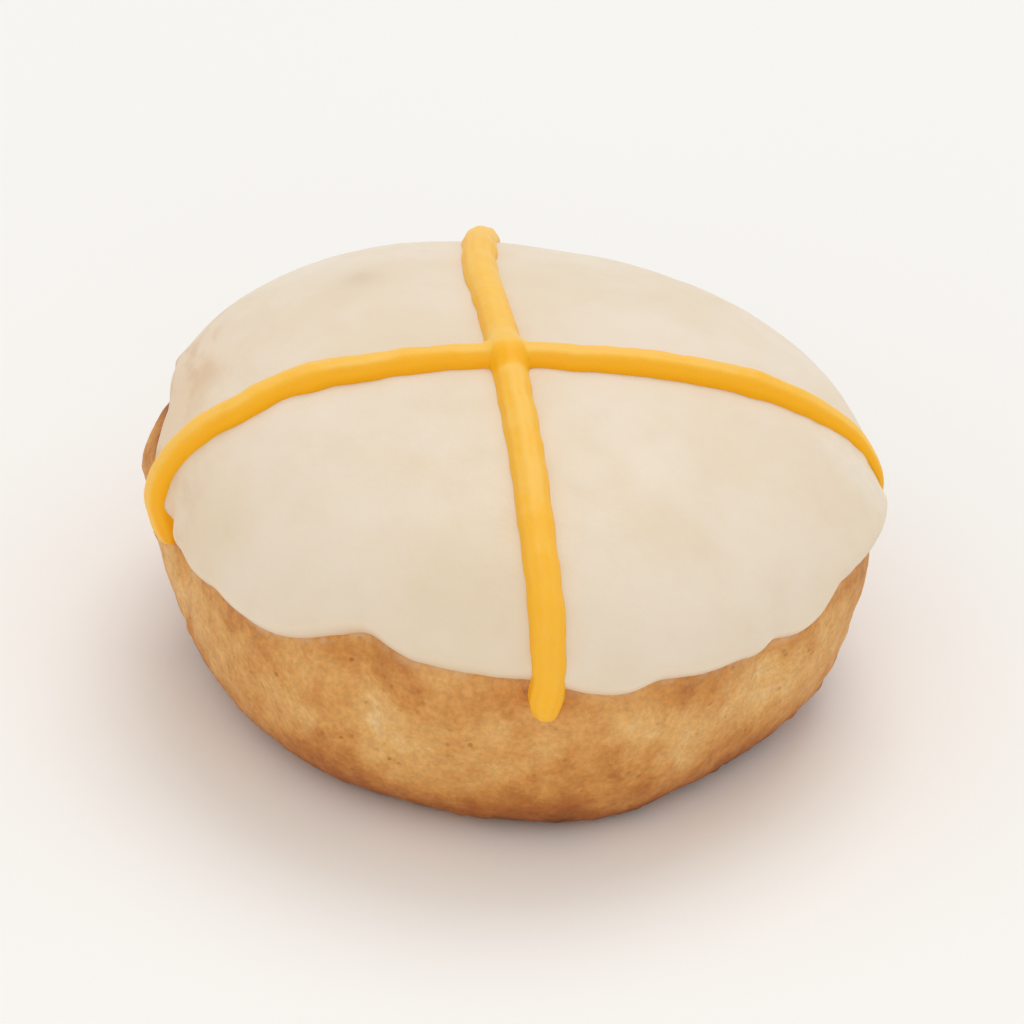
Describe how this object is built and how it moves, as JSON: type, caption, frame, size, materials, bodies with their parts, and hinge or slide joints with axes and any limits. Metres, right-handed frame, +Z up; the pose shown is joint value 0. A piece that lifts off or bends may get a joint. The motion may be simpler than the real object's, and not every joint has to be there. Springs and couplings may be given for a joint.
{
  "type": "iced bun",
  "caption": "Round soft bun with a flat underside, a coat of pale cream icing over its dome and a cross of orange icing piped on top.",
  "frame": {"origin": "on the surface the bun stands on, below the middle of its outline", "axes": "+Z up out of the crown, -Y towards the front that the picture shows, +X to the right as seen from there"},
  "size_m": [0.0879, 0.0912, 0.046],
  "materials": {
    "baked_crust": "matte",
    "icing": "satin",
    "piping": "satin"
  },
  "bodies": {
    "root": {"bun": "baked_crust", "icing": "icing", "piped_cross": "piping"}
  },
  "joints": []
}
